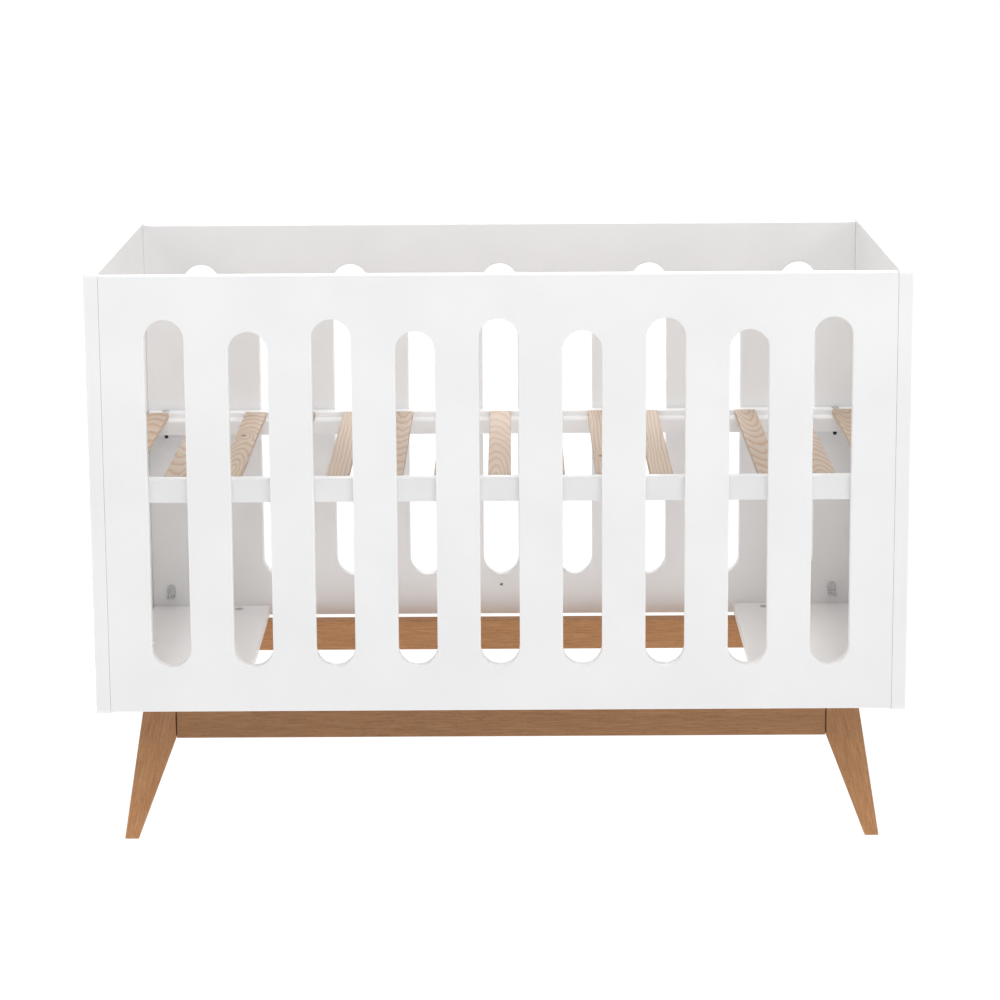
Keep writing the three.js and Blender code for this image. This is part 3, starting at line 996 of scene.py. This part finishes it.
for side, y in SIDES.items():
    node = f"leg_rail_{side}"
    low, high = node_box(node)
    rail = block(low, high)
    soften(rail, sharp_edges(rail), TIMBER_EASE, 3)
    for end in ENDS:
        bolt = place_of(f"board_bolt_{side}_{end}")
        rail = drill(rail, move(rod(BOARD_BOLT_HOLE, 80), (bolt.x, bolt.y, high.z)))
    piece = finish_piece(rail, f"{side}_leg_rail", brown_timber, stands_for=node)
    lay_grain(piece, (1, 0, 0), (0, y, 0), heart=(0.03, 0.09), lean=0.006, shift=3 + y,
              tone_and_shade=RAIL_TONE[side])

for end, x in ENDS.items():
    node = f"leg_stretcher_{end}"
    stretcher = block(*node_box(node))
    soften(stretcher, sharp_edges(stretcher), TIMBER_EASE, 3)
    piece = finish_piece(stretcher, f"{end}_leg_stretcher", brown_timber,
                         stands_for=node)
    lay_grain(piece, (0, 1, 0), (x, 0, 0), heart=(0.02, 0.1), lean=0.01, shift=9 + x)

# %% [markdown]
# ## Splayed legs
#
# Each leg tapers from the frame down to a narrow foot and leans outwards. Its side is drawn as
# five points in the plane of X and Z and extruded through the leg's depth. The timber was cut
# with the grain down the middle of the leg, so the grain leans with it. The tone is lighter at
# the foot and darker at the top, where the leg stands in the shade of the crib.

# %% Splayed legs
LEG_TONE = (1.14, 0.7)
LEG_OUTLINE = [(504, 213), (504, 162), (566.5, 0), (588, 0), (553, 213)]
LEG_RISE, LEG_SPLAY = 213, 48.75

for number, (corner, x, y) in enumerate(CORNERS):
    node = f"leg_{corner}"
    low, high = node_box(node)
    leg = bmesh.new()
    side_face = leg.faces.new([leg.verts.new((x * px, low.y, pz)) for px, pz in LEG_OUTLINE])
    grown = bmesh.ops.extrude_face_region(leg, geom=[side_face])["geom"]
    far = [part for part in grown if isinstance(part, bmesh.types.BMVert)]
    bmesh.ops.translate(leg, verts=far, vec=(0, high.y - low.y, 0))
    bmesh.ops.recalc_face_normals(leg, faces=leg.faces)
    soften(leg, sharp_edges(leg, 15), TIMBER_EASE, 3)
    piece = finish_piece(leg, f"{corner}_leg", brown_timber, stands_for=node,
                         steepest=35)
    slope = Vector((-x * LEG_SPLAY, 0, LEG_RISE))
    lay_grain(piece, slope, (0, y, 0), heart=(0.012 * x, 0.07), lean=0.02, shift=5 * number,
              tone_and_shade=LEG_TONE)

# %% [markdown]
# ## Bottom boards
#
# A white board at each end rests on the leg frame, and ties the panels to it. It is a flat board
# with eased edges, bolted down through the frame's rails near its inner corners.

# %% Bottom boards and their bolts
BOARD_EASE = 1.2
BOARD_BOLT_SHANK, BOARD_BOLT_HEAD, THREAD_START = 3, 7.5, 20

for end, x in ENDS.items():
    node = f"bottom_board_{end}"
    low, high = node_box(node)
    board = block(low, high)
    soften(board, sharp_edges(board), BOARD_EASE, 3)
    for side in SIDES:
        bolt = place_of(f"board_bolt_{side}_{end}")
        board = drill(board, move(rod(BOARD_BOLT_HOLE, 80), (bolt.x, bolt.y, high.z)))
    finish_piece(board, f"{end}_bottom_board", white_lacquer, stands_for=node)

for corner, x, y in CORNERS:
    node = f"board_bolt_{corner}"
    low, high = node_box(node)
    top = node_box("bottom_board_" + corner.split("_")[1])[1].z
    bolt = domed_bolt(BOARD_BOLT_SHANK, BOARD_BOLT_HEAD, top + HEAD_GAP, high.z - top - HEAD_GAP,
                      low.z, top - THREAD_START)
    finish_piece(move(bolt, (place_of(node).x, place_of(node).y, 0)), f"{corner}_board_bolt",
                 zinc_steel, stands_for=node)

# %% [markdown]
# ## End braces
#
# A small wedge-shaped brace stands between each bottom board and its end panel, and stops the
# end from swinging. Its section is drawn in the plane of X and Z and extruded across, and its
# edges are eased just enough to catch the light.

# %% End braces
BRACE_WALL, BRACE_EASE = 2, 0.5

for end, x in ENDS.items():
    node = f"end_brace_{end}"
    low, high = node_box(node)
    outer, inner = (high.x, low.x) if x > 0 else (low.x, high.x)
    section = [(outer, low.z), (outer, high.z), (outer - BRACE_WALL * x, high.z),
               (inner, low.z + BRACE_WALL), (inner, low.z)]
    brace = bmesh.new()
    side_face = brace.faces.new([brace.verts.new((px, low.y, pz)) for px, pz in section])
    grown = bmesh.ops.extrude_face_region(brace, geom=[side_face])["geom"]
    far = [part for part in grown if isinstance(part, bmesh.types.BMVert)]
    bmesh.ops.translate(brace, verts=far, vec=(0, high.y - low.y, 0))
    bmesh.ops.recalc_face_normals(brace, faces=brace.faces)
    soften(brace, sharp_edges(brace), BRACE_EASE, 2)
    finish_piece(brace, f"{end}_end_brace", zinc_steel, stands_for=node)

# %% [markdown]
# ## Floor
#
# The crib stands on a plain white floor that glows softly, like a light table. So the floor stays
# white under the crib, and it throws soft light up at the rails and legs. It is a broad sheet that
# runs far past the view, so no edge of it shows.

# %% Floor
FLOOR_REACH = 60

floor_mesh = bpy.data.meshes.new("floor")
sheet = bmesh.new()
bmesh.ops.create_grid(sheet, x_segments=2, y_segments=2, size=FLOOR_REACH)
sheet.to_mesh(floor_mesh)
sheet.free()
floor = bpy.data.objects.new("floor", floor_mesh)
bpy.context.scene.collection.objects.link(floor)
pale_floor, shader = new_finish("pale_floor", roughness=0.9)
shader.inputs["Base Color"].default_value = (0.1, 0.1, 0.1, 1)
shader.inputs["Emission Color"].default_value = (1, 1, 1, 1)
shader.inputs["Emission Strength"].default_value = 1.0
shader.inputs["Specular IOR Level"].default_value = 0.1
floor_mesh.materials.append(pale_floor)
print("the floor reaches", FLOOR_REACH, "m each way")

# %% [markdown]
# ## Room and lamps
#
# White on white needs light that is soft but not the same from all sides, or the edges vanish. The
# room itself is pale near the horizon and almost dark overhead. Five large lamps do the rest: one
# overhead reaches down between the slats, one stands high in front, one behind, and one on each
# side lights the far end's inner face. The right one is a little stronger.

# %% Room and lamps
ROOM_LIGHT = 0.05
room = bpy.data.worlds.new("white_room")
room.use_nodes = True
backdrop = room.node_tree.nodes["Background"]
backdrop.inputs["Color"].default_value = (1, 1, 1, 1)
upward = room.node_tree.nodes.new("ShaderNodeSeparateXYZ")
feed(room, upward.inputs[0], place_on(room, of="Generated"))
fading = spread(room, upward.outputs["Z"], 0.1, 0.3, 1.0, ROOM_LIGHT, smooth=True)
feed(room, backdrop.inputs["Strength"], fading)
bpy.context.scene.world = room


def soft_lamp(name, place, aim, size, power):
    """A large square lamp that looks from one place at another."""
    lamp = bpy.data.lights.new(name, "AREA")
    lamp.shape, lamp.size, lamp.energy = "SQUARE", size, power
    stand = bpy.data.objects.new(name, lamp)
    stand.location = place
    stand.rotation_euler = (Vector(aim) - Vector(place)).to_track_quat("-Z", "Y").to_euler()
    bpy.context.scene.collection.objects.link(stand)
    print(name, "at", place)


soft_lamp("overhead_lamp", (0, 0.2, 4.2), (0, 0, 0.4), 3.0, 75)
soft_lamp("front_lamp", (0.6, -3.9, 4.3), (0, 0, 0.4), 2.4, 58)
soft_lamp("rear_lamp", (0, 4.2, 2.2), (0, 0, 0.5), 2.4, 55)
soft_lamp("left_lamp", (-3.6, -1.2, 3.0), (0, 0, 0.5), 2.0, 48)
soft_lamp("right_lamp", (3.6, -1.2, 3.0), (0, 0, 0.5), 2.0, 52)

# %% [markdown]
# ## Camera
#
# The camera stands a little over five metres back, about as high as a standing person's eyes,
# and looks slightly down with a long lens, so the crib's uprights stay nearly parallel.

# %% Camera
CAMERA_PLACE = (0.0197, -5.2275, 1.5586)
TURN_LEFT, LOOK_DOWN, ROLL = 0.221, 11.692, -0.358
FOCAL_LENGTH = 118.78

camera = bpy.data.objects.new("camera", bpy.data.cameras.new("camera"))
camera.data.lens, camera.data.sensor_width = FOCAL_LENGTH, 36
heading = Matrix.Rotation(math.radians(TURN_LEFT), 4, "Z")
tilt = Matrix.Rotation(math.radians(90 - LOOK_DOWN), 4, "X")
roll = Matrix.Rotation(math.radians(ROLL), 4, "Z")
camera.matrix_world = Matrix.Translation(CAMERA_PLACE) @ heading @ tilt @ roll
bpy.context.scene.collection.objects.link(camera)
bpy.context.scene.camera = camera
bpy.context.scene.view_settings.view_transform = "Standard"
print("camera at", CAMERA_PLACE)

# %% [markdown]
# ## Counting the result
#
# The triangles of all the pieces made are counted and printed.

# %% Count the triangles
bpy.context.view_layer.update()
triangles = sum(len(polygon.vertices) - 2 for piece in made for polygon in piece.data.polygons)
print(len(made), "pieces,", triangles, "triangles")
